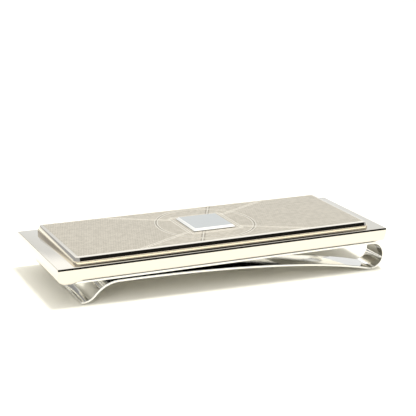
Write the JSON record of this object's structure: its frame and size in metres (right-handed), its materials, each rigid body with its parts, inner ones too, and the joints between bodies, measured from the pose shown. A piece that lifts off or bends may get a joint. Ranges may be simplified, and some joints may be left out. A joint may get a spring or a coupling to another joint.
{
  "type": "money clip",
  "caption": "Spring money clip: a polished plate with a stepped engraved panel and raised monogram square, gripped by a sprung steel leg that bends round an open eye.",
  "frame": {"origin": "centred under the clip, on the level of the lowest point of the spring's eye", "axes": "+X along the clip towards the eye, +Y across the clip, +Z out of the engraved face"},
  "size_m": [0.0546, 0.0194, 0.0082],
  "materials": {
    "polished_plate": "mirror-polished, warm silver",
    "polished_step": "mirror-polished, warm silver",
    "engraved_panel": "fine engine-turned lines with a polished border",
    "mirror_plaque": "mirror-polished",
    "spring_steel": "polished spring strip, bright sheared edges"
  },
  "bodies": {
    "spring": {"spring_gripping_leg": "spring_steel"},
    "plate": {"base_plate": "polished_plate", "backing_step": "polished_step", "engraved_panel": "engraved_panel", "monogram_plaque": "mirror_plaque", "spring_fixed_leg": "spring_steel"}
  },
  "joints": [
    {"name": "spring_opening", "type": "hinge", "parent": "spring", "child": "plate", "pos_m": [0.02495, 0, 0.00231], "axis": [0, 1, 0], "range_deg": [0, 8], "stiffness_Nm_per_rad": 1.1}
  ]
}
